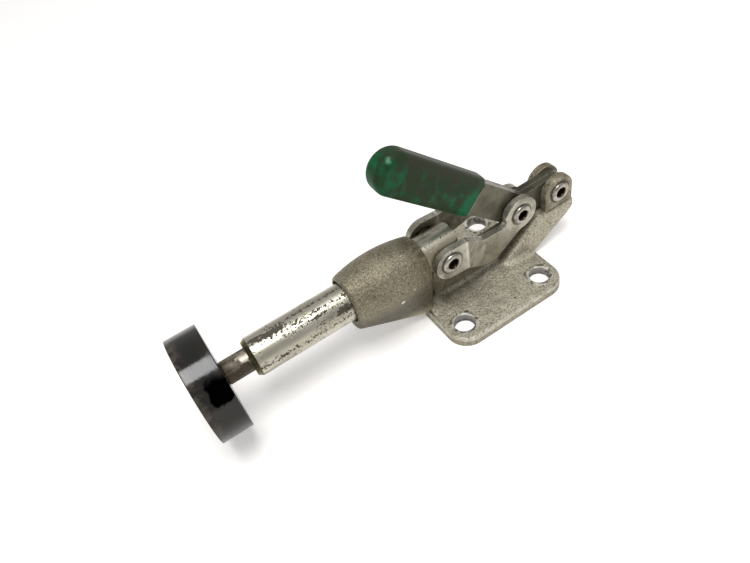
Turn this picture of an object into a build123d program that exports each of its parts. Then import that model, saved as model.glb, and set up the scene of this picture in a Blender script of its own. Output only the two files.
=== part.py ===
"""Straight-line toggle clamp: a push-pull plunger locked by a pair of cranked links.

Frame: +X is the way the plunger pushes, +Z is up, and the origin is the centre
of the four mounting holes on the underside of the base. Sizes are millimetres.
The clamp is drawn locked, with the plunger out and the handle forward.
"""
import os
from math import asin, atan2, cos, degrees, hypot, radians, sin

from build123d import *

os.makedirs("parts", exist_ok=True)

# ---------------------------------------------------------------- driving sizes
# Mounting flange
hole_spacing_x = 39.6
hole_spacing_y = 41.9
mount_hole_d = 8.8
flange_length = 55.8
flange_width = 60.2
flange_thickness = 4.35
flange_corner_r = 9.0
flange_rim_r = 1.1

# Plunger
plunger_d = 15.88
plunger_front_x = 100.8
plunger_rear_x = 8.9
plunger_z = 29.6
nose_chamfer_length = 1.8
nose_chamfer_depth = 1.1
tail_bevel_length = 5.6
tail_bevel_depth = 2.2

# Barrel of the casting, a barrel-shaped nose on a leaning foot
barrel_front_x = 58.9
barrel_rear_x = 24.8
barrel_r = 12.6
barrel_widest_x = 42.0
barrel_bulge_r = 62.0
barrel_lip_r = 1.7
barrel_heel_r = 1.2
nose_depth = 13.8
nose_foot_front_r = 9.2
nose_foot_rear_r = 7.4
nose_steps = 6
foot_front_x = 28.4
mouth_relief_d = 18.4
mouth_relief_depth = 1.4
saddle_x = 27.0
saddle_r = 6.6
saddle_flare = 5.0

# Spine between the barrel and the rear upright
spine_thickness = 5.2
spine_top_z = 19.5
spine_root_r = 1.8

# Rear upright
rear_pivot_x = -43.7
rear_pivot_z = 27.0
ear_r = 7.4
ear_sink = 2.0  # the ears run this far down into the skirt
ear_outer_y = 6.2
skirt_top_z = 19.2
skirt_top_y = 6.6
skirt_foot_y = 8.4
skirt_rear_x = -51.0
skirt_shoulder_x = -33.0
skirt_toe_x = -8.0
heel_x = -48.0
heel_z = 13.2
heel_height = 2.6
instep_z = 2.4
skirt_root_r = 3.5
ear_edge_r = 0.6
skirt_edge_r = 2.4

# Linkage
middle_pivot_x = -23.2
middle_pivot_z = 26.85
front_pivot_x = 15.9
link_thickness = 2.9
link_middle_r = 7.9
link_front_r = 7.2
link_front_offset = 0.7
link_hook_depth = 18.0
link_hook_near = 12.6
link_hook_far = 18.6
link_notch_depth = 3.2
link_notch_end = 18.8
link_crank_at = 31.0
link_crank_end = 18.4
link_corner_r = 3.0
link_bend_r = 3.0
link_notch_r = 2.0

# Handle
handle_thickness = 5.6
handle_angle = 43.4
arm_width = 13.9
bar_width = 12.0
bar_end_r = 6.2
elbow_r = 6.9
elbow_inner_r = 3.5
arm_length = 78.6
grip_start = 29.0
grip_length = 51.5
grip_width = 17.2
grip_thickness = 10.2
grip_edge_r = 3.4

# Rivets
rivet_d = 6.4
rivet_bore_d = 4.4
rivet_head_d = 9.0
rivet_head_height = 1.3
rivet_roll_r = 1.1
rivet_mouth_r = 0.8
cross_pin_length = 15.0
cross_pin_bore_d = 3.0

# Spindle and pad
spindle_d = 9.52
spindle_inside = 20.0
spindle_drill_depth = 32.0
spindle_chamfer = 0.5
stud_d = 7.9
stud_length = 7.0
pad_rear_x = 111.2
pad_d = 42.5
pad_thickness = 12.4
pad_edge_r = 0.3
insert_d = 13.0
insert_length = 8.6

# Clearances
running_gap = 0.05
seat_gap = 0.02
side_gap = 0.3
link_side_gap = 0.2
slot_gap = 0.1

# ---------------------------------------------------------------- worked-out sizes
plunger_r = plunger_d / 2
half_handle = handle_thickness / 2
link_length = hypot(front_pivot_x - middle_pivot_x, plunger_z - middle_pivot_z)
link_tilt = atan2(plunger_z - middle_pivot_z, front_pivot_x - middle_pivot_x)
bar_length = hypot(middle_pivot_x - rear_pivot_x, middle_pivot_z - rear_pivot_z)
bar_tilt = atan2(rear_pivot_z - middle_pivot_z, rear_pivot_x - middle_pivot_x)
link_inner_front = plunger_r + link_side_gap
link_inner_rear = half_handle + side_gap
ear_inner_y = half_handle + slot_gap
sunk_z = flange_thickness / 4
hair = 0.1  # slack for picking an edge by its size or place
root_start_x = flange_corner_r / 4 - flange_length / 2
wide = 4 * flange_width

side_plane = Plane.XZ
axis_plane = Plane(origin=(0, 0, plunger_z), x_dir=(0, 1, 0), z_dir=(1, 0, 0))
axle_front = Plane(origin=(front_pivot_x, 0, plunger_z), x_dir=(1, 0, 0), z_dir=(0, 1, 0))
axle_middle = Plane(
    origin=(middle_pivot_x, 0, middle_pivot_z), x_dir=(1, 0, 0), z_dir=(0, 1, 0)
)
axle_rear = Plane(origin=(rear_pivot_x, 0, rear_pivot_z), x_dir=(1, 0, 0), z_dir=(0, 1, 0))


def along_axis(x):
    """Plane across the plunger's axis at x, its own x axis along +Y and y axis up."""
    return axis_plane.offset(x)


def barrel_radius(x):
    """Outer radius of the bulged barrel at x."""
    return barrel_r - (x - barrel_widest_x) ** 2 / (2 * barrel_bulge_r)


def nose_bottom(x):
    """Depth of the casting's foot below the plunger axis at x."""
    slope = (plunger_z - nose_depth) / (barrel_front_x - foot_front_x)
    return nose_depth + (barrel_front_x - x) * slope


# ---------------------------------------------------------------- casting
def root_profile(half_width, root_r):
    """Half section of a wall's root: concave on its outside and flat along the flange."""
    rise = flange_thickness + root_r
    curve = CenterArc((half_width + root_r, rise), root_r, 180, 90)
    Polyline(curve @ 1, (half_width + root_r, sunk_z), (0, sunk_z), (0, rise), curve @ 0)


with BuildPart() as nose:
    for step in range(nose_steps):
        share = step / (nose_steps - 1)
        station = barrel_rear_x + (barrel_front_x - barrel_rear_x) * share
        top_r = barrel_radius(station)
        foot_r = nose_foot_rear_r + (nose_foot_front_r - nose_foot_rear_r) * share
        drop = nose_bottom(station) - foot_r
        with BuildSketch(along_axis(station)):
            with BuildLine():
                tilt = degrees(asin((top_r - foot_r) / drop))
                top = CenterArc((0, 0), top_r, -tilt, 180 + 2 * tilt)
                foot = CenterArc((0, -drop), foot_r, 180 + tilt, 180 - 2 * tilt)
                Line(top @ 1, foot @ 0)
                Line(foot @ 1, top @ 0)
            make_face()
    loft()
    fillet(nose.faces().sort_by(Axis.X)[-1].edges(), barrel_lip_r)
    fillet(nose.faces().sort_by(Axis.X)[0].edges(), barrel_heel_r)
    split(bisect_by=Plane.XY, keep=Keep.TOP)

# trumpet-shaped root that spreads the nose's foot over the flange
with BuildPart() as saddle:
    with BuildSketch(Plane.XZ.shift_origin((saddle_x, 0, 0))):
        with BuildLine():
            root_profile(saddle_r, saddle_flare)
        make_face()
    revolve(axis=Axis((saddle_x, 0, 0), (0, 0, 1)))
    split(bisect_by=Plane.YZ.offset(flange_length / 2 - flange_rim_r), keep=Keep.BOTTOM)

# skirt that carries the ears: its side view, cut to the taper it has from behind
with BuildPart() as skirt:
    with BuildSketch(side_plane):
        with BuildLine():
            Polyline(
                (skirt_rear_x, skirt_top_z),
                (skirt_shoulder_x, skirt_top_z),
                (skirt_toe_x, sunk_z),
                (-flange_length / 2, sunk_z),
                (-flange_length / 2, instep_z),
                (heel_x, heel_z),
                (skirt_rear_x, heel_z + heel_height),
                close=True,
            )
        make_face()
    extrude(amount=skirt_foot_y * 2, both=True)
    with BuildSketch(Plane.YZ.offset(skirt_rear_x - 1)):
        with BuildLine():
            Polyline(
                (-skirt_foot_y, 0),
                (skirt_foot_y, 0),
                (skirt_top_y, skirt_top_z),
                (-skirt_top_y, skirt_top_z),
                close=True,
            )
        make_face()
    extrude(amount=wide, mode=Mode.INTERSECT)
    slope = skirt.faces().sort_by_distance(
        ((skirt_shoulder_x + skirt_toe_x) / 2, 0, (skirt_top_z + sunk_z) / 2)
    )[0]
    fillet(slope.edges() - slope.edges().filter_by(Axis.Y), skirt_edge_r)

with BuildPart() as ears:
    with BuildSketch(side_plane):
        with Locations((rear_pivot_x, rear_pivot_z)):
            Circle(ear_r)
        with Locations((rear_pivot_x, (rear_pivot_z + skirt_top_z - ear_sink) / 2)):
            Rectangle(2 * ear_r, rear_pivot_z - skirt_top_z + ear_sink)
    extrude(amount=ear_outer_y, both=True)
    fillet(ears.edges().filter_by(GeomType.CIRCLE), ear_edge_r)

with BuildPart() as body_casting:
    with BuildSketch():
        RectangleRounded(flange_length, flange_width, flange_corner_r)
    extrude(amount=flange_thickness)
    add(skirt.part)
    brink = body_casting.edges().group_by(lambda e: abs(e.center().Z - flange_thickness))[0]
    foot_reach = flange_width / 6
    fillet([e for e in brink if skirt_top_y < abs(e.center().Y) < foot_reach], skirt_root_r)
    brink = body_casting.edges().group_by(lambda e: abs(e.center().Z - flange_thickness))[0]
    toe_x = flange_length / 2 - flange_rim_r
    fillet([e for e in brink if abs(e.center().Y) > foot_reach or e.center().X > toe_x], flange_rim_r)
    with BuildSketch(side_plane):
        with BuildLine():
            Polyline(
                (saddle_x, sunk_z),
                (root_start_x, sunk_z),
                (skirt_shoulder_x, heel_z),
                (skirt_shoulder_x, spine_top_z),
                (saddle_x, spine_top_z),
                close=True,
            )
        make_face()
    extrude(amount=spine_thickness / 2, both=True)
    with BuildSketch(Plane.YZ.offset(root_start_x)):
        with BuildLine():
            root_profile(spine_thickness / 2, spine_root_r)
        make_face()
        mirror(about=Plane.YZ)
    extrude(amount=saddle_x - root_start_x)
    add(nose.part)
    add(saddle.part)
    add(ears.part)
    # slot between the ears for the handle, level with the spine's top
    with BuildSketch(Plane.XY.offset(spine_top_z)):
        with Locations((rear_pivot_x, 0)):
            Rectangle(6 * ear_r, 2 * ear_inner_y)
    extrude(amount=wide, mode=Mode.SUBTRACT)
    # plunger bore with a short relief at its mouth
    with BuildSketch(along_axis(0)):
        Circle(plunger_r + running_gap)
    extrude(amount=wide, mode=Mode.SUBTRACT)
    with BuildSketch(along_axis(barrel_front_x - mouth_relief_depth)):
        Circle(mouth_relief_d / 2)
    extrude(amount=wide, mode=Mode.SUBTRACT)
    # rear rivet hole through both ears
    with BuildSketch(axle_rear):
        Circle(rivet_d / 2 + seat_gap)
    extrude(amount=wide, both=True, mode=Mode.SUBTRACT)
    # four mounting holes
    with BuildSketch():
        with GridLocations(hole_spacing_x, hole_spacing_y, 2, 2):
            Circle(mount_hole_d / 2)
    extrude(amount=flange_thickness, mode=Mode.SUBTRACT)
body_casting.part.label = "body_casting"
export_step(body_casting.part, "parts/body_casting.step")

# ---------------------------------------------------------------- plunger
with BuildPart() as plunger:
    with BuildSketch(along_axis(plunger_rear_x)):
        Circle(plunger_r)
    extrude(amount=plunger_front_x - plunger_rear_x)
    nose_face = plunger.faces().sort_by(Axis.X)[-1]
    chamfer(nose_face.edges(), nose_chamfer_depth, nose_chamfer_length, reference=nose_face)
    # the tail is bevelled on both sides so that the cranked links clear it
    with BuildSketch(Plane.XY.offset(plunger_z)):
        with BuildLine():
            Polyline(
                (plunger_rear_x - 1, plunger_r - tail_bevel_depth),
                (plunger_rear_x, plunger_r - tail_bevel_depth),
                (plunger_rear_x + tail_bevel_length, plunger_r),
                (plunger_rear_x + tail_bevel_length, 2 * plunger_r),
                (plunger_rear_x - 1, 2 * plunger_r),
                close=True,
            )
        make_face()
        mirror(about=Plane.XZ)
    extrude(amount=plunger_d, both=True, mode=Mode.SUBTRACT)
    # drilling for the spindle
    with BuildSketch(along_axis(plunger_front_x - spindle_drill_depth)):
        Circle(spindle_d / 2 + running_gap)
    extrude(amount=wide, mode=Mode.SUBTRACT)
    # cross hole for the front pivot
    with BuildSketch(axle_front):
        Circle(rivet_d / 2 + seat_gap)
    extrude(amount=wide, both=True, mode=Mode.SUBTRACT)
plunger.part.label = "plunger"
export_step(plunger.part, "parts/plunger.step")

with BuildPart() as plunger_cross_pin:
    with BuildSketch(axle_front):
        Circle(rivet_d / 2)
        Circle(cross_pin_bore_d / 2, mode=Mode.SUBTRACT)
    extrude(amount=cross_pin_length / 2, both=True)
plunger_cross_pin.part.label = "plunger_cross_pin"
export_step(plunger_cross_pin.part, "parts/plunger_cross_pin.step")

# ---------------------------------------------------------------- spindle and pad
with BuildPart() as spindle:
    with BuildSketch(along_axis(plunger_front_x - spindle_inside)):
        Circle(spindle_d / 2)
    extrude(amount=spindle_inside + pad_rear_x - plunger_front_x)
    chamfer(spindle.edges(), spindle_chamfer)
    with BuildSketch(along_axis(pad_rear_x - spindle_chamfer)):
        Circle(stud_d / 2)
    extrude(amount=spindle_chamfer + stud_length)
spindle.part.label = "spindle"
export_step(spindle.part, "parts/spindle.step")

with BuildPart() as pad_insert:
    with BuildSketch(along_axis(pad_rear_x)):
        Circle(insert_d / 2)
    extrude(amount=insert_length)
    with BuildSketch(along_axis(pad_rear_x)):
        Circle(stud_d / 2 + seat_gap)
    extrude(amount=stud_length, mode=Mode.SUBTRACT)
pad_insert.part.label = "pad_insert"
export_step(pad_insert.part, "parts/pad_insert.step")

with BuildPart() as pad:
    with BuildSketch(along_axis(pad_rear_x)):
        Circle(pad_d / 2)
    extrude(amount=pad_thickness)
    fillet(pad.edges(), pad_edge_r)
    with BuildSketch(along_axis(pad_rear_x)):
        Circle(insert_d / 2)
    extrude(amount=insert_length, mode=Mode.SUBTRACT)
pad.part.label = "pad"
export_step(pad.part, "parts/pad.step")


# ---------------------------------------------------------------- links
def cranked_link(side):
    """Hooked link from the middle pivot to the front one, outside the handle's plate.

    side is +1 for the near link, whose hook hangs down, and -1 for the far one,
    which is the same stamping turned half a turn about the line of its pivots.
    """
    plane = Plane(
        origin=(middle_pivot_x, 0, middle_pivot_z),
        x_dir=(cos(link_tilt), 0, sin(link_tilt)),
        z_dir=(0, -side, 0),
    )
    top = link_front_r - link_front_offset
    bottom = -link_front_r - link_front_offset
    notch_start = (link_middle_r**2 - link_notch_depth**2) ** 0.5
    corners = [
        ((link_crank_at, top), link_corner_r),
        ((link_notch_end, -link_notch_depth), link_corner_r),
        ((notch_start, -link_notch_depth), link_notch_r),
        ((0, -link_middle_r), link_corner_r),
        ((link_hook_near, -link_hook_depth), link_corner_r),
        ((link_hook_far, -link_hook_depth), link_corner_r),
        ((link_crank_at, bottom), link_corner_r),
    ]
    with BuildPart() as link:
        with BuildSketch(plane) as outline:
            with BuildLine():
                Polyline(
                    (link_length, top),
                    (link_crank_at, top),
                    (link_notch_end, -link_notch_depth),
                    (0, -link_notch_depth),
                    (0, -link_middle_r),
                    (link_hook_near, -link_hook_depth),
                    (link_hook_far, -link_hook_depth),
                    (link_crank_at, bottom),
                    (link_length, bottom),
                    close=True,
                )
            make_face()
            Circle(link_middle_r)
            with Locations((link_length, -link_front_offset)):
                Circle(link_front_r)
            for place, radius in corners:
                fillet(outline.vertices().sort_by_distance(place)[0], radius)
            with Locations((0, 0), (link_length, 0)):
                Circle(rivet_d / 2 + seat_gap, mode=Mode.SUBTRACT)
        extrude(amount=-wide)
        # bent strip seen from above: flat beside the plunger, then in to the handle
        strip = Plane(origin=plane.origin, x_dir=plane.x_dir, z_dir=plane.y_dir)
        with BuildSketch(strip):
            with BuildLine():
                FilletPolyline(
                    (link_length + wide, link_inner_front + link_thickness / 2),
                    (link_crank_at, link_inner_front + link_thickness / 2),
                    (link_crank_end, link_inner_rear + link_thickness / 2),
                    (-wide, link_inner_rear + link_thickness / 2),
                    radius=link_bend_r,
                )
            trace(line_width=link_thickness)
        extrude(amount=wide, both=True, mode=Mode.INTERSECT)
    return link.part


link_near = cranked_link(1)
link_near.label = "link_near"
export_step(link_near, "parts/link_near.step")

link_far = cranked_link(-1)
link_far.label = "link_far"
export_step(link_far, "parts/link_far.step")


# ---------------------------------------------------------------- rivets
def tubular_rivet(plane, ends):
    """Hollow rivet across plane's axis; ends are the faces that its heads close on.

    Each end is a face and whether it has a head with a rolled rim.
    """
    (start, start_headed), (stop, stop_headed) = ends
    with BuildPart() as rivet:
        with BuildSketch(plane.offset(start)):
            Circle(rivet_d / 2)
        extrude(amount=stop - start)
        for face_at, headed, outward in ((start, start_headed, -1), (stop, stop_headed, 1)):
            if headed:
                with BuildSketch(plane.offset(face_at)):
                    Circle(rivet_head_d / 2)
                extrude(amount=outward * rivet_head_height)
        rims = rivet.edges().filter_by(GeomType.CIRCLE)
        outer = [
            rim
            for rim in rims
            if rim.radius > rivet_d / 2 + hair
            and min(abs(rim.center().Y - start), abs(rim.center().Y - stop)) > hair
        ]
        fillet(outer, rivet_roll_r)
        with BuildSketch(plane):
            Circle(rivet_bore_d / 2)
        extrude(amount=wide, both=True, mode=Mode.SUBTRACT)
        mouths = [
            rim
            for rim in rivet.edges().filter_by(GeomType.CIRCLE)
            if abs(rim.radius - rivet_bore_d / 2) < hair
        ]
        fillet(mouths, rivet_mouth_r)
    return rivet.part


rear_rivet = tubular_rivet(axle_rear, ((-ear_outer_y, True), (ear_outer_y, True)))
rear_rivet.label = "rear_rivet"
export_step(rear_rivet, "parts/rear_rivet.step")

link_outer_rear = link_inner_rear + link_thickness
middle_rivet = tubular_rivet(
    axle_middle, ((-link_outer_rear, True), (link_outer_rear, True))
)
middle_rivet.label = "middle_rivet"
export_step(middle_rivet, "parts/middle_rivet.step")

# The front rivet is drawn as an end in each link, with the cross pin between them
link_outer_front = link_inner_front + link_thickness
front_rivet_near = tubular_rivet(
    axle_front, ((link_inner_front, False), (link_outer_front, True))
)
front_rivet_near.label = "front_rivet_near"
export_step(front_rivet_near, "parts/front_rivet_near.step")

front_rivet_far = tubular_rivet(
    axle_front, ((-link_outer_front, True), (-link_inner_front, False))
)
front_rivet_far.label = "front_rivet_far"
export_step(front_rivet_far, "parts/front_rivet_far.step")

# ---------------------------------------------------------------- handle
arm_cos = cos(radians(handle_angle))
arm_sin = sin(radians(handle_angle))


def on_arm(distance, across=0.0):
    """Side-view point at a distance from the middle pivot along the handle's arm."""
    return (
        middle_pivot_x + distance * arm_cos - across * arm_sin,
        middle_pivot_z + distance * arm_sin + across * arm_cos,
    )


def handle_plate(side):
    """One of the two flat plates that lie back to back and make the handle."""
    straight = arm_length - arm_width / 2
    bar_middle = (
        (middle_pivot_x + rear_pivot_x) / 2,
        (middle_pivot_z + rear_pivot_z) / 2,
    )
    elbow_corner = (middle_pivot_x - bar_width / 3, middle_pivot_z + bar_width / 2)
    with BuildPart() as plate:
        with BuildSketch(side_plane) as outline:
            with Locations(on_arm(straight / 2)):
                Rectangle(straight, arm_width, rotation=handle_angle)
            with Locations(on_arm(straight)):
                Circle(arm_width / 2)
            with Locations((middle_pivot_x, middle_pivot_z)):
                Circle(elbow_r)
            with Locations(bar_middle):
                Rectangle(bar_length, bar_width, rotation=degrees(bar_tilt))
            with Locations((rear_pivot_x, rear_pivot_z)):
                Circle(bar_end_r)
            fillet(outline.vertices().sort_by_distance(elbow_corner)[0], elbow_inner_r)
            with Locations((middle_pivot_x, middle_pivot_z), (rear_pivot_x, rear_pivot_z)):
                Circle(rivet_d / 2 + running_gap, mode=Mode.SUBTRACT)
        extrude(amount=-side * half_handle)
    return plate.part


handle_plate_near = handle_plate(1)
handle_plate_near.label = "handle_plate_near"
export_step(handle_plate_near, "parts/handle_plate_near.step")

handle_plate_far = handle_plate(-1)
handle_plate_far.label = "handle_plate_far"
export_step(handle_plate_far, "parts/handle_plate_far.step")

with BuildPart() as grip:
    tip_centre = grip_start + grip_length - grip_width / 2
    body_middle = (grip_start + tip_centre) / 2
    with BuildSketch(side_plane):
        with Locations(on_arm(body_middle)):
            Rectangle(tip_centre - grip_start, grip_width, rotation=handle_angle)
        with Locations(on_arm(tip_centre)):
            Circle(grip_width / 2)
    extrude(amount=grip_thickness / 2, both=True)
    root_face = grip.faces().sort_by_distance(
        (on_arm(grip_start)[0], 0, on_arm(grip_start)[1])
    )[0]
    side_edges = grip.faces().filter_by(Axis.Y).edges() - root_face.edges()
    fillet(side_edges, grip_edge_r)
    with BuildSketch(side_plane):
        straight = arm_length - arm_width / 2
        with Locations(on_arm(straight / 2)):
            Rectangle(straight, arm_width, rotation=handle_angle)
        with Locations(on_arm(straight)):
            Circle(arm_width / 2)
    extrude(amount=half_handle, both=True, mode=Mode.SUBTRACT)
grip.part.label = "grip"
export_step(grip.part, "parts/grip.step")
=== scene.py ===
import math

import bmesh
import bpy
from mathutils import Matrix, Vector


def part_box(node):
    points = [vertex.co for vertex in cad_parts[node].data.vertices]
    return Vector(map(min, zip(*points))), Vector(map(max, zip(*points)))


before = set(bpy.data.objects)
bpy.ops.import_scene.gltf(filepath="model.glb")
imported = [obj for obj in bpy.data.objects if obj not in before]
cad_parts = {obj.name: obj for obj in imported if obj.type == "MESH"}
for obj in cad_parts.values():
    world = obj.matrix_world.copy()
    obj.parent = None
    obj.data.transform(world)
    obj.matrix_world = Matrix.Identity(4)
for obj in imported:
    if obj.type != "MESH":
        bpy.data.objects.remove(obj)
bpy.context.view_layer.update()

# ------------------------------------------------------------ body casting
# One rough casting: a mounting flange with four screw holes, a thin spine, the
# bulged nose that guides the plunger and the two ears behind. It is dull warm grey
# with dark pits, brown grime mixed with painted shade in its hollows, painted shade
# under the nose, on the spine and at the flange's foot, and bright chips round the holes.
casting_grey = (0.340, 0.308, 0.215, 1.0)
casting_pale = (0.640, 0.605, 0.490, 1.0)
casting_nose = (0.232, 0.204, 0.138, 1.0)
casting_shade = (0.088, 0.080, 0.056, 1.0)
casting_grime_and_shade = (0.085, 0.066, 0.034, 1.0)
casting_pit_and_shadow = (0.030, 0.024, 0.014, 1.0)
casting_chip_and_highlight = (0.80, 0.78, 0.72, 1.0)
hole_wall_grey = (0.42, 0.405, 0.40, 1.0)

# Directions, and the stretches that make a patch a rod along one of them
forwards = (1, 0, 0)
sideways = (0, 1, 0)
upwards = (0, 0, 1)
rod_forwards = (0.0, 1.0, 1.0)
rod_sideways = (1.0, 0.0, 1.0)
rod_upwards = (1.0, 1.0, 0.0)

# The mounting holes, folded onto one, and the bore in the nose, in metres
hole_centre = (0.0198, 0.02095, 0.00435)
hole_wall_r = 0.0045
hole_clear_r = 0.0062
chipped_ring = {"Centre": (0.0198, 0.0216, 0.00435), "Radius": 0.0049, "Width": 0.00025}
scarred_ring = {"Centre": (0.0198, 0.0203, 0.00435), "Radius": 0.0052, "Width": 0.0002}
plunger_axis = (0.0, 0.0, 0.0296)
mouth_r = 0.0082

# Where each region of the casting begins and where it is full, in metres
flange_heights = (0.011, 0.004)
flange_side_heights = (0.0034, 0.0022)
flange_face_heights = (0.0036, 0.0041)
hole_wall_heights = (0.0044, 0.0040)
brim_upper_heights = (0.0043, 0.0040)
brim_lower_heights = (0.0026, 0.0034)
rear_foot_lengths = (-0.006, -0.020)
rear_foot_heights = (0.023, 0.017)
nose_lengths = (0.017, 0.027)
nose_heights = (0.006, 0.014)
nose_underside_heights = (0.031, 0.019)
nose_heel_lengths = (0.034, 0.0255)
nose_mouth_lengths = (0.0560, 0.0575)
spine_widths = (0.0060, 0.0030)
spine_heights = (0.006, 0.010)
spine_rear_lengths = (-0.030, -0.010)
spine_front_lengths = (0.028, 0.022)
ear_heights = (0.016, 0.021)
ear_lengths = (-0.030, -0.036)


def shader_nodes(name):
    """A fresh material with its Principled shader."""
    made = bpy.data.materials.new(name)
    made.use_nodes = True
    return made, made.node_tree, made.node_tree.nodes["Principled BSDF"]


def group_tree(name, inputs):
    """An empty mask group with its sockets: the tree, its inputs and its mask."""
    tree = bpy.data.node_groups.new(name, "ShaderNodeTree")
    for socket, kind, value in inputs:
        made = tree.interface.new_socket(socket, in_out="INPUT", socket_type=kind)
        if value is not None:
            made.default_value = value
    tree.interface.new_socket("Mask", in_out="OUTPUT", socket_type="NodeSocketFloat")
    taken = tree.nodes.new("NodeGroupInput").outputs
    return tree, taken, tree.nodes.new("NodeGroupOutput").inputs["Mask"]


def feed(tree, socket, value):
    """Links a socket's source to it, or sets its number, vector or colour."""
    if isinstance(value, bpy.types.NodeSocket):
        tree.links.new(value, socket)
    else:
        socket.default_value = value


def number(tree, operation, first, second=0.0, third=0.0):
    """A Math node's result."""
    node = tree.nodes.new("ShaderNodeMath")
    node.operation = operation
    for socket, value in zip(node.inputs, (first, second, third)):
        feed(tree, socket, value)
    return node.outputs[0]


def both(tree, mask, *others):
    """1 where every mask is 1."""
    for other in others:
        mask = number(tree, "MULTIPLY", mask, other)
    return mask


def inverse(tree, mask):
    """1 where the mask is 0."""
    return number(tree, "SUBTRACT", 1.0, mask)


def vector(tree, operation, first, second=(0.0, 0.0, 0.0)):
    """A Vector Math node's result: a number for a dot product or a length."""
    node = tree.nodes.new("ShaderNodeVectorMath")
    node.operation = operation
    feed(tree, node.inputs[0], first)
    feed(tree, node.inputs[1], second)
    return node.outputs["Value" if operation in ("DOT_PRODUCT", "LENGTH") else "Vector"]


def ramp(tree, value, start, stop):
    """0 where the value is at `start`, 1 at `stop`, smooth between."""
    node = tree.nodes.new("ShaderNodeMapRange")
    node.interpolation_type = "SMOOTHSTEP"
    feed(tree, node.inputs["Value"], value)
    falling = not isinstance(start, bpy.types.NodeSocket) and start > stop
    low, high = (stop, start) if falling else (start, stop)
    feed(tree, node.inputs["From Min"], low)
    feed(tree, node.inputs["From Max"], high)
    if falling:
        node.inputs["To Min"].default_value = 1.0
        node.inputs["To Max"].default_value = 0.0
    return node.outputs["Result"]


def grain(tree, place, scale, detail=4.0):
    """A noise value that varies over the surface."""
    node = tree.nodes.new("ShaderNodeTexNoise")
    node.inputs["Roughness"].default_value = 0.6
    for name, value in (("Vector", place), ("Scale", scale), ("Detail", detail)):
        feed(tree, node.inputs[name], value)
    return node.outputs["Fac"]


def broken(tree, mask, place, scale, start, stop, detail=4.0):
    """A mask broken up by noise, gone where that is at `start`, whole at `stop`."""
    return both(tree, mask, ramp(tree, grain(tree, place, scale, detail), start, stop))


# Spots: a mask of noise blotches, with a share that is covered and a soft edge.
spots, taken, mask = group_tree(
    "spots",
    [
        ("Vector", "NodeSocketVector", None),
        ("Scale", "NodeSocketFloat", 100.0),
        ("Detail", "NodeSocketFloat", 4.0),
        ("Cover", "NodeSocketFloat", 0.3),
        ("Softness", "NodeSocketFloat", 0.06),
    ],
)
brink = inverse(spots, taken["Cover"])
low = number(spots, "SUBTRACT", brink, taken["Softness"])
high = number(spots, "ADD", brink, taken["Softness"])
noise = grain(spots, taken["Vector"], taken["Scale"], taken["Detail"])
feed(spots, mask, ramp(spots, noise, low, high))

# Patch: a ragged mask round a place, solid when its radius is 0 and else a ring. The
# stretch multiplies the distance along each axis, so 0 makes the patch endless there.
patch, taken, mask = group_tree(
    "patch",
    [
        ("Vector", "NodeSocketVector", None),
        ("Centre", "NodeSocketVector", None),
        ("Stretch", "NodeSocketVector", (1.0, 1.0, 1.0)),
        ("Radius", "NodeSocketFloat", 0.0),
        ("Width", "NodeSocketFloat", 0.001),
        ("Softness", "NodeSocketFloat", 0.0002),
        ("Ragged", "NodeSocketFloat", 0.001),
        ("Scale", "NodeSocketFloat", 700.0),
    ],
)
offset = vector(patch, "SUBTRACT", taken["Vector"], taken["Centre"])
reach = vector(patch, "LENGTH", vector(patch, "MULTIPLY", offset, taken["Stretch"]))
reach = number(patch, "ABSOLUTE", number(patch, "SUBTRACT", reach, taken["Radius"]))
noise = number(patch, "SUBTRACT", grain(patch, taken["Vector"], taken["Scale"], 5.0), 0.5)
reach = number(patch, "MULTIPLY_ADD", noise, taken["Ragged"], reach)
outside = number(patch, "ADD", taken["Width"], taken["Softness"])
feed(patch, mask, inverse(patch, ramp(patch, reach, taken["Width"], outside)))

# Edge wear: 1 along edges, found by rounding the normal, broken up by noise.
edge_wear, taken, mask = group_tree(
    "edge wear",
    [
        ("Vector", "NodeSocketVector", None),
        ("Width", "NodeSocketFloat", 0.0005),
        ("Scale", "NodeSocketFloat", 400.0),
    ],
)
rounded = edge_wear.nodes.new("ShaderNodeBevel")
rounded.samples = 6
feed(edge_wear, rounded.inputs["Radius"], taken["Width"])
facing = edge_wear.nodes.new("ShaderNodeNewGeometry").outputs["Normal"]
bend = inverse(
    edge_wear, vector(edge_wear, "DOT_PRODUCT", rounded.outputs["Normal"], facing)
)
bend = ramp(edge_wear, bend, 0.01, 0.14)
bend = broken(edge_wear, bend, taken["Vector"], taken["Scale"], 0.35, 0.6)
feed(edge_wear, mask, bend)

# Hollow grime and shade: 1 deep in corners and gaps of the piece itself, where dirt gathers
# and where shade is painted.
hollow_grime_and_shade, taken, mask = group_tree(
    "hollow_grime_and_shade",
    [
        ("Vector", "NodeSocketVector", None),
        ("Distance", "NodeSocketFloat", 0.006),
        ("Scale", "NodeSocketFloat", 250.0),
    ],
)
shade = hollow_grime_and_shade.nodes.new("ShaderNodeAmbientOcclusion")
shade.samples = 8
shade.only_local = True
feed(hollow_grime_and_shade, shade.inputs["Distance"], taken["Distance"])
noise = grain(hollow_grime_and_shade, taken["Vector"], taken["Scale"], 5.0)
openness = number(hollow_grime_and_shade, "MULTIPLY_ADD", noise, 0.8, shade.outputs["AO"])
feed(hollow_grime_and_shade, mask, ramp(hollow_grime_and_shade, openness, 1.25, 0.80))


def placed(tree, group, place, **values):
    """Places a mask group in a material, with its own values, and returns its mask."""
    node = tree.nodes.new("ShaderNodeGroup")
    node.node_tree = group
    feed(tree, node.inputs["Vector"], place)
    for name, value in values.items():
        feed(tree, node.inputs[name], value)
    return node.outputs["Mask"]


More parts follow.
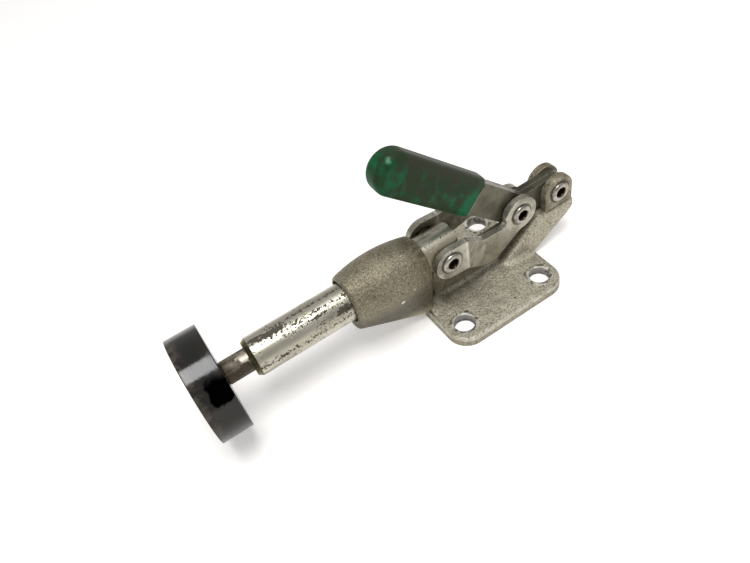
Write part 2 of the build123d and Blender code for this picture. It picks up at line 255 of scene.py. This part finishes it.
def rivet_ring(tree, place, pivot, radius):
    """A ragged ring mask round a rivet's rim, for its painted contact shadow."""
    return placed(
        tree, patch, place, Centre=pivot, Stretch=rod_sideways, Radius=radius,
        Width=0.0003, Softness=0.0004, Ragged=0.0008,
    )


def mixed(tree, mask, below, above, strength=1.0):
    """Colour or number `below` covered by `above` where the mask is 1."""
    node = tree.nodes.new("ShaderNodeMix")
    node.data_type = "RGBA"
    if strength != 1.0:
        mask = number(tree, "MULTIPLY", mask, strength)
    feed(tree, node.inputs[0], mask)
    for value, socket in ((below, node.inputs[6]), (above, node.inputs[7])):
        feed(tree, socket, (value,) * 3 + (1,) if isinstance(value, float) else value)
    return node.outputs[2]


def spotted(tree, place, below, above, strength, **values):
    """A colour with spots of another."""
    return mixed(tree, placed(tree, spots, place, **values), below, above, strength)


def object_place(tree, scale=(1.0, 1.0, 1.0)):
    """Object coordinates through a Mapping node."""
    source = tree.nodes.new("ShaderNodeTexCoord")
    mapping = tree.nodes.new("ShaderNodeMapping")
    mapping.inputs["Scale"].default_value = scale
    feed(tree, mapping.inputs["Vector"], source.outputs["Object"])
    return mapping.outputs["Vector"]


def distance_along(tree, place, direction):
    """How far the surface lies along a direction."""
    return vector(tree, "DOT_PRODUCT", place, direction)


def bumped(tree, shader, height, strength, distance, soft_edge=0.0):
    """Feeds a height to the shader's normal, over edges softened by `soft_edge`."""
    bump = tree.nodes.new("ShaderNodeBump")
    bump.inputs["Strength"].default_value = strength
    bump.inputs["Distance"].default_value = distance
    feed(tree, bump.inputs["Height"], height)
    if soft_edge:
        soft = tree.nodes.new("ShaderNodeBevel")
        soft.samples = 6
        soft.inputs["Radius"].default_value = soft_edge
        feed(tree, bump.inputs["Normal"], soft.outputs["Normal"])
    feed(tree, shader.inputs["Normal"], bump.outputs["Normal"])


def dress(node, material):
    """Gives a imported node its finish."""
    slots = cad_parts[node].data.materials
    slots.clear()
    slots.append(material)


def middle(node):
    """The centre of a node's box."""
    low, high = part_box(node)
    return tuple((Vector(low) + Vector(high)) / 2)


rear_pivot = middle("rear_rivet")
middle_pivot = middle("middle_rivet")
front_pivot = middle("plunger_cross_pin")

cast_metal, tree, cast_shader = shader_nodes("cast_metal")
place = object_place(tree)
height_up = distance_along(tree, place, upwards)
forward = distance_along(tree, place, forwards)
aside = number(tree, "ABSOLUTE", distance_along(tree, place, sideways))
all_holes = vector(tree, "ABSOLUTE", place)
colour = spotted(
    tree, place, casting_grey, casting_pale, 0.45, Scale=190, Cover=0.5, Softness=0.2
)

# The flange and the rear foot are paler, partly their own tone and partly painted light
# from above; the nose is darker and greyer
pale_and_lit_low_parts = number(
    tree,
    "MAXIMUM",
    ramp(tree, height_up, *flange_heights),
    ramp(tree, forward, *rear_foot_lengths),
)
pale_and_lit_low_parts = both(tree, pale_and_lit_low_parts, ramp(tree, height_up, *rear_foot_heights))
colour = mixed(tree, pale_and_lit_low_parts, colour, casting_pale, 0.6)
nose = both(
    tree, ramp(tree, forward, *nose_lengths), ramp(tree, height_up, *nose_heights)
)
colour = mixed(tree, nose, colour, casting_nose, 0.75)

# The skin: grime in blotches, pale flecks, dark specks and pits
colour = spotted(
    tree, place, colour, casting_grime_and_shade, 0.3, Scale=70, Cover=0.44, Softness=0.12, Detail=6
)
flecks = placed(tree, spots, place, Scale=1500, Cover=0.42, Softness=0.05, Detail=2)
flecks = both(tree, flecks, number(tree, "MULTIPLY_ADD", nose, -0.4, 1.0))
colour = mixed(tree, flecks, colour, casting_pale, 0.45)
colour = spotted(
    tree, place, colour, casting_grime_and_shade, 0.5, Scale=1450, Cover=0.46, Softness=0.07, Detail=3
)
pits = placed(tree, spots, place, Scale=1300, Cover=0.365, Softness=0.04, Detail=3)
colour = mixed(tree, pits, colour, casting_pit_and_shadow, 0.6)

# Painted shade on the nose's underside and on the spine under the links, grime on the ears
# and on the nose's heel
nose_underside_shade = both(tree, ramp(tree, height_up, *nose_underside_heights), nose)
colour = mixed(tree, nose_underside_shade, colour, casting_shade, 0.75)
# Painted shade on the spine, which lies under the links
spine = both(
    tree,
    ramp(tree, aside, *spine_widths),
    ramp(tree, height_up, *spine_heights),
    ramp(tree, forward, *spine_rear_lengths),
    ramp(tree, forward, *spine_front_lengths),
)
colour = mixed(tree, spine, colour, casting_grime_and_shade, 0.4)
ears = both(
    tree, ramp(tree, height_up, *ear_heights), ramp(tree, forward, *ear_lengths)
)
ears = broken(tree, ears, place, 240, 0.36, 0.62, 5.0)
colour = mixed(tree, ears, colour, casting_grime_and_shade, 0.6)
heel = both(tree, ramp(tree, forward, *nose_heel_lengths), nose)
heel = broken(tree, heel, place, 330, 0.30, 0.62)
colour = mixed(tree, heel, colour, casting_grime_and_shade, 0.9)

# Grime and painted shade in the hollows, dirt round the nose's mouth, and rubbed edges
# clear of both
mouth_dirt = placed(
    tree, patch, place, Centre=plunger_axis, Stretch=rod_forwards, Radius=mouth_r,
    Width=0.0007, Ragged=0.0020,
)
mouth_dirt = both(tree, mouth_dirt, ramp(tree, forward, *nose_mouth_lengths))
# The casting's own hollows are darkened, partly for grime and partly as painted shade
dirt_and_shade = placed(tree, hollow_grime_and_shade, place, Distance=0.012)
dirt_and_shade = number(tree, "MAXIMUM", dirt_and_shade, mouth_dirt)
colour = mixed(tree, dirt_and_shade, colour, casting_grime_and_shade, 0.9)
worn = both(tree, placed(tree, edge_wear, place, Width=0.0007), inverse(tree, dirt_and_shade))
colour = mixed(tree, worn, colour, casting_pale, 0.8)

# Clean grey walls in the mounting holes, painted shade along the foot of the flange side,
# and a bright brim above it
wall = placed(
    tree, patch, all_holes, Centre=hole_centre, Stretch=rod_upwards, Width=hole_wall_r,
    Ragged=0.0,
)
wall = both(tree, wall, ramp(tree, height_up, *hole_wall_heights))
colour = mixed(tree, wall, colour, hole_wall_grey, 0.8)
near_hole = placed(
    tree, patch, all_holes, Centre=hole_centre, Stretch=rod_upwards, Width=hole_clear_r,
    Ragged=0.0,
)
brim = both(
    tree,
    ramp(tree, height_up, *brim_upper_heights),
    ramp(tree, height_up, *brim_lower_heights),
    inverse(tree, near_hole),
)
brim = broken(tree, brim, place, 330, 0.32, 0.6)
# Painted shade along the foot of the flange side, next to the floor
flange_foot_shade = ramp(tree, height_up, *flange_side_heights)
colour = mixed(tree, flange_foot_shade, colour, casting_grime_and_shade, 0.35)
colour = mixed(tree, brim, colour, casting_chip_and_highlight, 0.5)

# Scars and bright chips round the holes, three stray chips, and a painted shadow ring round
# the rivet
rims = placed(tree, patch, all_holes, Ragged=0.0050, Scale=420, **chipped_ring)
rims = both(tree, rims, ramp(tree, height_up, *flange_face_heights))
scars = placed(tree, patch, all_holes, Ragged=0.0065, Scale=520, **scarred_ring)
colour = mixed(tree, scars, colour, casting_pit_and_shadow, 0.7)
colour = mixed(tree, rims, colour, casting_chip_and_highlight, 0.8)
for spot, size in (
    ((0.0401, 0.0119, 0.0254), 0.0009),
    ((0.0346, 0.0121, 0.0285), 0.0003),
    ((0.0140, -0.0297, 0.0040), 0.0007),
):
    chip = placed(tree, patch, place, Centre=spot, Width=size, Ragged=0.003, Scale=600)
    colour = mixed(tree, chip, colour, casting_chip_and_highlight, 0.8)
rivet_shadow = rivet_ring(tree, place, rear_pivot, 0.0048)
colour = mixed(tree, rivet_shadow, colour, casting_pit_and_shadow, 0.7)

feed(tree, cast_shader.inputs["Base Color"], colour)
rough = mixed(tree, rims, 0.55, 0.30)
feed(tree, cast_shader.inputs["Roughness"], mixed(tree, pits, rough, 0.8))
feed(tree, cast_shader.inputs["Metallic"], mixed(tree, dirt_and_shade, 0.65, 0.2))
skin = grain(tree, place, 1050, 5.0)
lumps = number(tree, "MULTIPLY_ADD", grain(tree, place, 260), 1.6, skin)
skin_height = mixed(tree, pits, lumps, 0.4, 0.8)
bumped(tree, cast_shader, skin_height, 0.6, 0.0004, 0.0008)
dress("body_casting", cast_metal)

# ------------------------------------------------------------ plunger
# A plated round bar with a chamfered nose. The plating is worn and pitted: brown
# black rust in clusters and long smears, and a dull greenish side.
plate_bright = (0.55, 0.52, 0.435, 1.0)
plate_dull = (0.32, 0.30, 0.22, 1.0)
rust_and_shadow_black = (0.020, 0.015, 0.008, 1.0)
rust_brown = (0.095, 0.073, 0.040, 1.0)
tail_brown = (0.33, 0.285, 0.175, 1.0)
nose_olive = (0.135, 0.115, 0.045, 1.0)
chamfer_lengths = (0.0989, 0.0991)
tail_lengths = (0.040, 0.026)
tail_heights = (0.0375, 0.0345)

# Rusty blots: centre, length, width and how ragged
blots = (
    ((0.0900, 0.0012, 0.0375), 0.0052, 0.0010, 0.0042),
    ((0.0955, 0.0000, 0.0375), 0.0024, 0.0008, 0.0050),
    ((0.0770, -0.0007, 0.0375), 0.0085, 0.0003, 0.0040),
    ((0.0745, 0.0048, 0.0359), 0.0036, 0.0003, 0.0062),
    ((0.0622, 0.0067, 0.0339), 0.0026, 0.0012, 0.0046),
    ((0.0650, 0.0030, 0.0370), 0.0045, 0.0001, 0.0075),
    ((0.0910, 0.0079, 0.0305), 0.0050, 0.0001, 0.0085),
    ((0.0700, -0.0078, 0.0310), 0.0080, 0.0008, 0.0055),
    ((0.0860, -0.0050, 0.0235), 0.0070, 0.0006, 0.0060),
)

plated_bar, tree, plated_shader = shader_nodes("plated_bar")
place = object_place(tree)
along = object_place(tree, (0.22, 1.0, 1.0))
forward = distance_along(tree, place, forwards)
height_up = distance_along(tree, place, upwards)
colour = spotted(
    tree, along, plate_bright, plate_dull, 0.6, Scale=170, Cover=0.5, Softness=0.2
)
smears = both(
    tree,
    placed(tree, spots, along, Scale=480, Cover=0.47, Softness=0.05, Detail=6),
    placed(tree, spots, along, Scale=85, Cover=0.44, Softness=0.08, Detail=2),
)
specks = both(
    tree,
    placed(tree, spots, place, Scale=1250, Cover=0.42, Softness=0.04, Detail=3),
    placed(tree, spots, place, Scale=110, Cover=0.47, Softness=0.12, Detail=2),
)
for spot, length, width, ragged in blots:
    blot = placed(
        tree, patch, place, Centre=spot, Stretch=(width / length, 1.0, 1.0),
        Width=width * 1.2, Softness=0.0003, Ragged=ragged, Scale=900,
    )
    specks = number(tree, "MAXIMUM", specks, blot)
colour = mixed(tree, smears, colour, rust_brown, 0.7)
colour = mixed(tree, specks, colour, rust_and_shadow_black, 0.88)
dull_tail = both(
    tree, ramp(tree, forward, *tail_lengths), ramp(tree, height_up, *tail_heights)
)
colour = mixed(tree, dull_tail, colour, tail_brown, 0.7)
nose_ring = ramp(tree, forward, *chamfer_lengths)
colour = mixed(tree, nose_ring, colour, nose_olive, 0.9)
feed(tree, plated_shader.inputs["Base Color"], colour)
rough = mixed(tree, smears, 0.31, 0.5)
feed(tree, plated_shader.inputs["Roughness"], mixed(tree, specks, rough, 0.75))
feed(tree, plated_shader.inputs["Metallic"], mixed(tree, specks, 0.9, 0.25))
pitting = number(tree, "MULTIPLY_ADD", specks, -1.0, grain(tree, place, 420))
bumped(tree, plated_shader, pitting, 0.4, 0.00015, 0.0003)
dress("plunger", plated_bar)

# ------------------------------------------------------------ spindle
# A plain steel stud that screws into the plunger, brown with rust and rubbed bright
# where it meets the plunger. The insert moulded into the pad has the same finish.
spindle_brown = (0.080, 0.062, 0.042, 1.0)
spindle_bright = (0.47, 0.42, 0.34, 1.0)
rubbed_spot = (0.1025, 0.0015, 0.0340)

rusty_stud, tree, stud_shader = shader_nodes("rusty_stud")
place = object_place(tree)
along = object_place(tree, (0.35, 1.0, 1.0))
rubbed = placed(
    tree, patch, place, Centre=rubbed_spot, Stretch=(0.95, 1.0, 1.0), Width=0.0017,
    Softness=0.0012, Ragged=0.0080, Scale=420,
)
colour = spotted(
    tree, along, spindle_brown, spindle_bright, 0.35,
    Scale=260, Cover=0.47, Softness=0.10, Detail=5,
)
colour = mixed(tree, rubbed, colour, spindle_bright, 0.9)
colour = spotted(tree, place, colour, rust_and_shadow_black, 0.6, Scale=1200, Cover=0.4)
feed(tree, stud_shader.inputs["Base Color"], colour)
feed(tree, stud_shader.inputs["Roughness"], mixed(tree, rubbed, 0.58, 0.45))
feed(tree, stud_shader.inputs["Metallic"], mixed(tree, rubbed, 0.5, 0.85))
stud_shader.inputs["Specular IOR Level"].default_value = 0.3
bumped(tree, stud_shader, grain(tree, place, 800), 0.3, 0.0002)
for node in ("spindle", "pad_insert"):
    dress(node, rusty_stud)

# ------------------------------------------------------------ pad
# A broad turned disc of hard black plastic on the spindle's stud, rubbed to a satin sheen,
# with a black patch painted as the reflection of dark surroundings, and a scuffed brown
# front rim.
pad_dark = (0.009, 0.0088, 0.007, 1.0)
pad_worn = (0.013, 0.0115, 0.008, 1.0)
pad_scuff = (0.095, 0.078, 0.058, 1.0)
pad_painted_reflection = (0.0008, 0.0010, 0.0010, 1.0)
low_side_heights = (0.040, 0.030)
front_rim_lengths = (0.1190, 0.1225)
reflection_lower_heights = (0.0388, 0.0393)
reflection_upper_heights = (0.0472, 0.0452)
reflection_lengths = (0.1190, 0.1184)
reflection_widths = (0.0, 0.001)

black_pad, tree, pad_shader = shader_nodes("black_pad")
place = object_place(tree)
around = object_place(tree, (1.0, 0.35, 0.35))
forward = distance_along(tree, place, forwards)
height_up = distance_along(tree, place, upwards)
low_side = ramp(tree, height_up, *low_side_heights)
worn = placed(tree, spots, around, Scale=130, Cover=0.5, Softness=0.12, Detail=5)
worn = number(tree, "MAXIMUM", worn, low_side)
colour = mixed(tree, worn, pad_dark, pad_worn)
front_rim = ramp(tree, forward, *front_rim_lengths)
front_rim = broken(tree, front_rim, place, 300, 0.38, 0.58)
colour = mixed(tree, front_rim, colour, pad_scuff, 0.55)
edge = placed(tree, edge_wear, place, Width=0.0005, Scale=260)
colour = mixed(tree, edge, colour, pad_scuff, 0.7)

# The painted reflection of dark surroundings: a black patch that reflects nothing, its
# borders shifted by noise
shift = number(tree, "SUBTRACT", grain(tree, place, 150, 6.0), 0.5)
shift = number(tree, "MULTIPLY", shift, 0.006)
shifted_up = number(tree, "ADD", height_up, shift)
shifted_forward = number(tree, "ADD", forward, shift)
painted_reflection = both(
    tree,
    ramp(tree, shifted_up, *reflection_lower_heights),
    ramp(tree, shifted_up, *reflection_upper_heights),
    ramp(tree, shifted_forward, *reflection_lengths),
    ramp(tree, distance_along(tree, place, sideways), *reflection_widths),
)
colour = mixed(tree, painted_reflection, colour, pad_painted_reflection)
feed(tree, pad_shader.inputs["Base Color"], colour)
rough = mixed(tree, worn, 0.10, 0.22)
feed(tree, pad_shader.inputs["Roughness"], mixed(tree, painted_reflection, rough, 0.12))
feed(tree, pad_shader.inputs["Metallic"], painted_reflection)
sheen = mixed(tree, low_side, 0.44, 0.28)
feed(tree, pad_shader.inputs["Specular IOR Level"], sheen)
turned = grain(tree, object_place(tree, (1.0, 0.05, 0.05)), 1300)
turned = number(tree, "MULTIPLY_ADD", grain(tree, place, 500), 0.6, turned)
bumped(tree, pad_shader, turned, 0.18, 0.0002, 0.0004)
dress("pad", black_pad)

# ------------------------------------------------------------ links
# Two stamped steel straps, cranked outwards past the plunger, each with a hook.
# They are smooth and dull with brown tarnish and a few dark stains.
link_grey = (0.44, 0.42, 0.345, 1.0)
link_pale = (0.70, 0.67, 0.58, 1.0)
link_brown = (0.150, 0.125, 0.083, 1.0)
worn_foot_centre = (0.0005, 0.0090, 0.0200)
dark_foot_centre = (-0.0085, 0.0070, 0.0190)
crease_rear_lengths = (0.0074, 0.0080)
crease_front_lengths = (0.0090, 0.0084)
rubbed_rear_lengths = (0.0070, 0.0085)
rubbed_front_lengths = (0.0125, 0.0088)

stamped_link, tree, link_shader = shader_nodes("stamped_link")
place = object_place(tree)
forward = distance_along(tree, place, forwards)
stain = placed(tree, spots, place, Scale=110, Cover=0.49, Softness=0.12, Detail=6)
colour = mixed(tree, stain, link_grey, link_brown, 0.55)
colour = spotted(
    tree, place, colour, link_pale, 0.5, Scale=160, Cover=0.42, Softness=0.08, Detail=5
)
colour = spotted(
    tree, place, colour, rust_and_shadow_black, 0.6, Scale=1000, Cover=0.37, Softness=0.04, Detail=3
)
worn_foot = placed(
    tree, patch, place, Centre=worn_foot_centre, Stretch=(0.6, 0.3, 1.0), Width=0.0022,
    Softness=0.0020, Ragged=0.0090, Scale=260,
)
colour = mixed(tree, worn_foot, colour, link_pale, 0.45)
dark_foot = placed(
    tree, patch, place, Centre=dark_foot_centre, Stretch=(0.7, 0.3, 1.0), Width=0.0020,
    Softness=0.0020, Ragged=0.0090, Scale=300,
)
colour = mixed(tree, dark_foot, colour, link_brown, 0.15)

# The bend towards the plunger is rubbed pale, with a bright line on the crease that is
# partly wear and partly a painted highlight
rubbed = both(
    tree,
    ramp(tree, forward, *rubbed_front_lengths),
    ramp(tree, forward, *rubbed_rear_lengths),
)
rubbed = broken(tree, rubbed, place, 260, 0.35, 0.6)
colour = mixed(tree, rubbed, colour, link_pale, 0.6)
crease_highlight_and_wear = both(
    tree,
    ramp(tree, forward, *crease_rear_lengths),
    ramp(tree, forward, *crease_front_lengths),
)
crease_highlight_and_wear = broken(tree, crease_highlight_and_wear, place, 500, 0.30, 0.5)
colour = mixed(tree, crease_highlight_and_wear, colour, casting_chip_and_highlight, 0.7)
worn = placed(tree, edge_wear, place, Width=0.0006)
colour = mixed(tree, worn, colour, casting_chip_and_highlight, 0.6)
# Painted contact shadow round the rivet heads
for pivot in (front_pivot, middle_pivot):
    rivet_shadow = rivet_ring(tree, place, pivot, 0.0047)
    colour = mixed(tree, rivet_shadow, colour, rust_and_shadow_black, 0.75)
feed(tree, link_shader.inputs["Base Color"], colour)
feed(tree, link_shader.inputs["Roughness"], mixed(tree, stain, 0.34, 0.5))
link_shader.inputs["Metallic"].default_value = 0.8
bumped(tree, link_shader, grain(tree, place, 420, 5.0), 0.3, 0.0004, 0.0004)
for node in ("link_near", "link_far"):
    dress(node, stamped_link)

# ------------------------------------------------------------ handle plates
# Two flat pressed plates that lie back to back and make the lever. The steel is dark
# with brown stains, with painted shade round the elbow, and rubbed pale along its edges.
handle_grey = (0.132, 0.125, 0.088, 1.0)
handle_dark = (0.052, 0.046, 0.032, 1.0)

lever_steel, tree, lever_shader = shader_nodes("lever_steel")
place = object_place(tree)
stain = placed(tree, spots, place, Scale=120, Cover=0.49, Softness=0.15, Detail=5)
colour = mixed(tree, stain, handle_grey, handle_dark, 0.5)
painted_elbow_shade = placed(
    tree, patch, place, Centre=middle_pivot, Stretch=rod_sideways, Width=0.0095,
    Softness=0.005, Ragged=0.004, Scale=200,
)
colour = mixed(tree, painted_elbow_shade, colour, handle_dark, 0.75)
colour = spotted(tree, place, colour, rust_and_shadow_black, 0.5, Scale=1000, Cover=0.36)
worn = placed(tree, edge_wear, place, Width=0.0004)
colour = mixed(tree, worn, colour, link_pale, 0.7)
feed(tree, lever_shader.inputs["Base Color"], colour)
feed(tree, lever_shader.inputs["Roughness"], mixed(tree, stain, 0.34, 0.48))
lever_shader.inputs["Metallic"].default_value = 0.8
bumped(tree, lever_shader, grain(tree, place, 500), 0.25, 0.0002, 0.0003)
for node in ("handle_plate_near", "handle_plate_far"):
    dress(node, lever_steel)

# ------------------------------------------------------------ grip
# A dipped sleeve of clear green vinyl over the lever. The steel shows through as a
# dark core, and the green is brightest where the vinyl is thick: at its ends and
# along its lower side.
grip_core = (0.024, 0.034, 0.014, 1.0)
grip_top = (0.034, 0.034, 0.020, 1.0)
grip_deep = (0.004, 0.044, 0.014, 1.0)
grip_green = (0.001, 0.138, 0.054, 1.0)
star_green = (0.10, 0.33, 0.19, 1.0)
lip_pale = (0.30, 0.27, 0.20, 1.0)
star_centre = (0.0308, 0.0037, 0.0840)

# The lever's lean, and where the grip starts and ends along it from the elbow
grip_lean = math.radians(43.4)
lever_way = Vector((math.cos(grip_lean), 0.0, math.sin(grip_lean)))
cross_way = Vector((-math.sin(grip_lean), 0.0, math.cos(grip_lean)))
grip_root = 0.029
grip_end = 0.0805
lip_lengths = (grip_root + 0.0009, grip_root + 0.0003)
root_lengths = (grip_root + 0.011, grip_root + 0.001)
end_lengths = (grip_end - 0.015, grip_end - 0.007)
tip_lengths = (grip_end - 0.012, grip_end - 0.005)
lower_lengths = (grip_end - 0.006, grip_root + 0.008)
lower_widths = (0.0035, -0.004)
upper_widths = (0.0030, 0.0070)

green_vinyl, tree, vinyl_shader = shader_nodes("green_vinyl")
place = object_place(tree)
from_pivot = vector(tree, "SUBTRACT", place, middle_pivot)
out = distance_along(tree, from_pivot, lever_way)
across = distance_along(tree, from_pivot, cross_way)
cloud = placed(tree, spots, place, Scale=210, Cover=0.5, Softness=0.10, Detail=5)
colour = mixed(tree, cloud, grip_core, grip_deep, 0.55)
thick = number(tree, "MULTIPLY", ramp(tree, out, *root_lengths), 0.22)
thick = number(tree, "MULTIPLY_ADD", ramp(tree, out, *end_lengths), 0.15, thick)
lower = both(tree, ramp(tree, across, *lower_widths), ramp(tree, out, *lower_lengths))
thick = number(tree, "MULTIPLY_ADD", lower, 0.13, thick)
glow = number(tree, "ADD", thick, grain(tree, place, 190, 3.5))
colour = mixed(tree, ramp(tree, glow, 0.52, 0.82), colour, grip_green, 0.8)
colour = mixed(tree, ramp(tree, across, *upper_widths), colour, grip_top, 0.75)
colour = mixed(tree, ramp(tree, out, *tip_lengths), colour, grip_deep, 0.30)
star = placed(
    tree, patch, place, Centre=star_centre, Width=0.0005, Softness=0.0009,
    Ragged=0.0045, Scale=650,
)
colour = mixed(tree, star, colour, star_green, 0.7)
lip = broken(tree, ramp(tree, out, *lip_lengths), place, 500, 0.35, 0.55)
colour = mixed(tree, lip, colour, lip_pale, 0.7)
feed(tree, vinyl_shader.inputs["Base Color"], colour)
vinyl_shader.inputs["Roughness"].default_value = 0.42
vinyl_shader.inputs["Specular IOR Level"].default_value = 0.13
bumped(tree, vinyl_shader, grain(tree, place, 300), 0.2, 0.0003)
dress("grip", green_vinyl)

# ------------------------------------------------------------ rivets
# Tubular steel rivets with rolled rims, rubbed bright by the links they carry and
# brown with rust inside.
rivet_bright = (0.42, 0.40, 0.355, 1.0)
bore_rust = (0.075, 0.034, 0.022, 1.0)
bore_r = 0.0024

rivet_steel, tree, rivet_shader = shader_nodes("rivet_steel")
place = object_place(tree)
colour = spotted(
    tree, place, rivet_bright, link_brown, 0.6, Scale=500, Cover=0.45, Softness=0.12
)
for pivot in (front_pivot, middle_pivot, rear_pivot):
    inside = placed(
        tree, patch, place, Centre=pivot, Stretch=rod_sideways, Width=bore_r,
        Softness=0.0003, Ragged=0.0006,
    )
    colour = mixed(tree, inside, colour, bore_rust, 0.9)
feed(tree, rivet_shader.inputs["Base Color"], colour)
rivet_shader.inputs["Roughness"].default_value = 0.27
rivet_shader.inputs["Metallic"].default_value = 0.9
bumped(tree, rivet_shader, grain(tree, place, 700), 0.25, 0.00015)
for node in (
    "rear_rivet",
    "middle_rivet",
    "front_rivet_near",
    "front_rivet_far",
    "plunger_cross_pin",
):
    dress(node, rivet_steel)

# ------------------------------------------------------------ stage, light and camera
# A seamless pale floor, one soft lamp overhead and an even surround. The floor adds a
# little light of its own where the camera, a reflection or clear plastic sees it.
floor_half_size = 4.0
floor_white = (0.95, 0.925, 0.90, 1)
floor_glow = 0.26
surround_strength = 0.48
lamp_spot = Vector((0.10, 0.16, 0.95))
lamp_aim = Vector((0.02, 0.0, 0.02))

floor_mesh = bpy.data.meshes.new("floor")
built = bmesh.new()
bmesh.ops.create_grid(built, x_segments=1, y_segments=1, size=floor_half_size)
built.to_mesh(floor_mesh)
built.free()
floor = bpy.data.objects.new("floor", floor_mesh)
bpy.context.scene.collection.objects.link(floor)

pale_floor, tree, floor_shader = shader_nodes("pale_floor")
floor_shader.inputs["Base Color"].default_value = floor_white
floor_shader.inputs["Roughness"].default_value = 0.6
floor_shader.inputs["Emission Color"].default_value = (1, 1, 1, 1)
rays = tree.nodes.new("ShaderNodeLightPath").outputs
seen = number(tree, "MAXIMUM", rays["Is Camera Ray"], rays["Is Glossy Ray"])
seen = number(tree, "MAXIMUM", seen, rays["Is Transmission Ray"])
glow = number(tree, "MULTIPLY", seen, floor_glow)
feed(tree, floor_shader.inputs["Emission Strength"], glow)
floor_mesh.materials.append(pale_floor)

world = bpy.data.worlds.new("studio")
bpy.context.scene.world = world
world.use_nodes = True
surround = world.node_tree.nodes["Background"]
surround.inputs["Color"].default_value = (1, 1, 1, 1)
surround.inputs["Strength"].default_value = surround_strength

key_lamp = bpy.data.lights.new("key_lamp", "AREA")
key_lamp.size = 0.44
key_lamp.energy = 6.1
holder = bpy.data.objects.new("key_lamp", key_lamp)
holder.location = lamp_spot
holder.rotation_euler = (lamp_aim - lamp_spot).to_track_quat("-Z", "Y").to_euler()
bpy.context.scene.collection.objects.link(holder)

eye = Vector((0.10804, 0.15876, 0.21622))
ahead = Vector((-0.25040239, -0.62962088, -0.73544286))
right = Vector((-0.83115067, 0.52935835, -0.17020079))
up = right.cross(ahead)
camera = bpy.data.cameras.new("camera")
camera.sensor_width = 36.0
camera.lens = 31.18
camera.clip_start = 0.01
stand = bpy.data.objects.new("camera", camera)
stand.matrix_world = Matrix(
    (
        (right.x, up.x, -ahead.x, eye.x),
        (right.y, up.y, -ahead.y, eye.y),
        (right.z, up.z, -ahead.z, eye.z),
        (0, 0, 0, 1),
    )
)
bpy.context.scene.collection.objects.link(stand)
bpy.context.scene.camera = stand
bpy.context.scene.view_settings.view_transform = "Standard"
